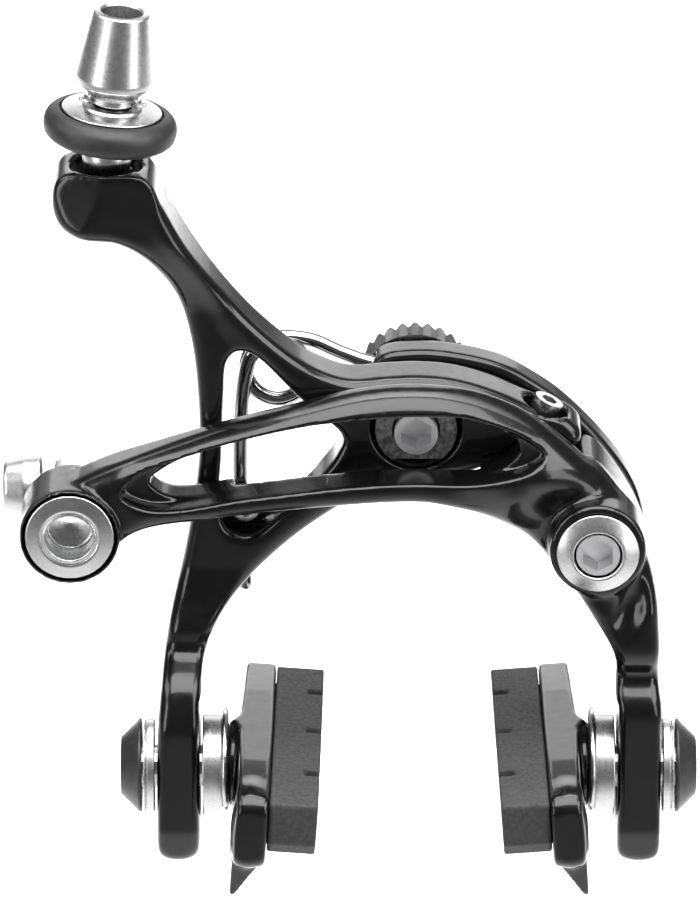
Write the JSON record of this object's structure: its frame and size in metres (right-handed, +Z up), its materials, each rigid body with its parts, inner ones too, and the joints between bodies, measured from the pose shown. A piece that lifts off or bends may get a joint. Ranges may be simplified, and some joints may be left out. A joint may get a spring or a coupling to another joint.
{
  "type": "bicycle rim brake caliper",
  "caption": "Dual-pivot side-pull rim brake caliper with offset forged arms, slotted legs, pad holders, cable anchor and a disc-type cable adjuster.",
  "frame": {"origin": "mounting bolt axis in the plane of the seat washer's tooth tips, where the caliper meets the fork crown", "axes": "+Z up along the fork, +X towards the cable arm's leg, +Y along the mounting bolt into the fork"},
  "size_m": [0.093, 0.0536, 0.118],
  "materials": {
    "paint": "gloss black",
    "black_metal": "satin black anodised",
    "silver": "turned, satin",
    "steel": "polished",
    "rubber": "matte",
    "plastic": "satin black",
    "bronze": "satin"
  },
  "bodies": {
    "bridge": {"mounting_bolt": "steel", "seat_washer": "silver", "bridge": "paint", "rear_thrust_washer": "steel", "lock_plate": "silver", "side_pivot_bolt": "steel", "side_pivot_cap": "silver", "side_thrust_washer": "steel", "return_spring": "steel"},
    "housing_arm": {"housing_arm": "paint", "centre_bushing": "bronze", "centring_screw": "silver", "spring_block": "plastic", "spring_block_screw": "silver"},
    "adjuster_seat": {"ball_seat": "silver"},
    "adjuster_knob": {"adjuster_disc": "silver", "adjuster_rubber_ring": "rubber"},
    "adjuster_barrel": {"adjuster_barrel": "silver", "adjuster_clip": "steel"},
    "cable_arm": {"cable_arm": "paint", "side_bushing": "bronze", "follower_roller": "steel", "follower_pin": "steel"},
    "cable_anchor": {"anchor_barrel": "silver", "anchor_ring": "steel", "anchor_clamp_plate": "silver"},
    "anchor_bolt": {"anchor_clamp_bolt": "silver"},
    "pad_fixing_left": {"pad_nut_left": "black_metal", "pad_outer_washer_left": "silver", "pad_inner_washer_left": "silver", "pad_clip_left": "steel"},
    "pad_left": {"pad_cup_washer_left": "black_metal", "pad_stud_left": "steel", "pad_holder_left": "paint", "pad_rubber_left": "rubber", "pad_lock_screw_left": "steel"},
    "pad_fixing_right": {"pad_nut_right": "black_metal", "pad_outer_washer_right": "silver", "pad_inner_washer_right": "silver", "pad_clip_right": "steel"},
    "pad_right": {"pad_cup_washer_right": "black_metal", "pad_stud_right": "steel", "pad_holder_right": "paint", "pad_rubber_right": "rubber", "pad_lock_screw_right": "steel"}
  },
  "joints": [
    {"name": "housing_arm_pivot", "type": "hinge", "parent": "bridge", "child": "housing_arm", "pos_m": [0, -0.015, 0], "axis": [0, -1, 0], "range_deg": [0, 7], "stiffness_Nm_per_rad": 0.9, "springref_deg": -34.38, "deforming": ["return_spring"]},
    {"name": "cable_arm_pivot", "type": "hinge", "parent": "bridge", "child": "cable_arm", "pos_m": [0.024, -0.024, -0.014], "axis": [0, 1, 0], "range_deg": [0, 10.5]},
    {"name": "adjuster_tilt", "type": "hinge", "parent": "housing_arm", "child": "adjuster_seat", "pos_m": [-0.04065, -0.017, 0.0365], "axis": [0, 1, 0], "range_deg": [-4, 4]},
    {"name": "adjuster_turn", "type": "hinge", "parent": "adjuster_seat", "child": "adjuster_knob", "pos_m": [-0.04005, -0.017, 0.04197], "axis": [0.108, 0, 0.9941], "range_deg": [-1800, 0]},
    {"name": "adjuster_rise", "type": "slide", "parent": "adjuster_seat", "child": "adjuster_barrel", "axis": [0.108, 0, 0.9941], "range_m": [0, 0.004]},
    {"name": "anchor_swivel", "type": "hinge", "parent": "cable_arm", "child": "cable_anchor", "pos_m": [-0.0458, -0.024, -0.012], "axis": [0, 1, 0], "range_deg": [-25, 25]},
    {"name": "anchor_bolt_loosen", "type": "slide", "parent": "cable_anchor", "child": "anchor_bolt", "axis": [-1, 0, 0], "range_m": [0, 0.0025]},
    {"name": "pad_height_left", "type": "slide", "parent": "housing_arm", "child": "pad_fixing_left", "axis": [0, 0, 1], "range_m": [-0.0042, 0.0037]},
    {"name": "pad_angle_left", "type": "hinge", "parent": "pad_fixing_left", "child": "pad_left", "pos_m": [-0.0279, -0.0224, -0.0475], "axis": [1, 0, 0], "range_deg": [-10, 10]},
    {"name": "pad_height_right", "type": "slide", "parent": "cable_arm", "child": "pad_fixing_right", "axis": [0, 0, 1], "range_m": [-0.0042, 0.0037]},
    {"name": "pad_angle_right", "type": "hinge", "parent": "pad_fixing_right", "child": "pad_right", "pos_m": [0.0261, -0.0224, -0.0475], "axis": [1, 0, 0], "range_deg": [-10, 10]}
  ],
  "couplings": [
    {"joint": "cable_arm_pivot", "follows": "housing_arm_pivot", "ratio": 1.5},
    {"joint": "adjuster_turn", "follows": "adjuster_rise", "rad_per_m": -7853.9}
  ]
}
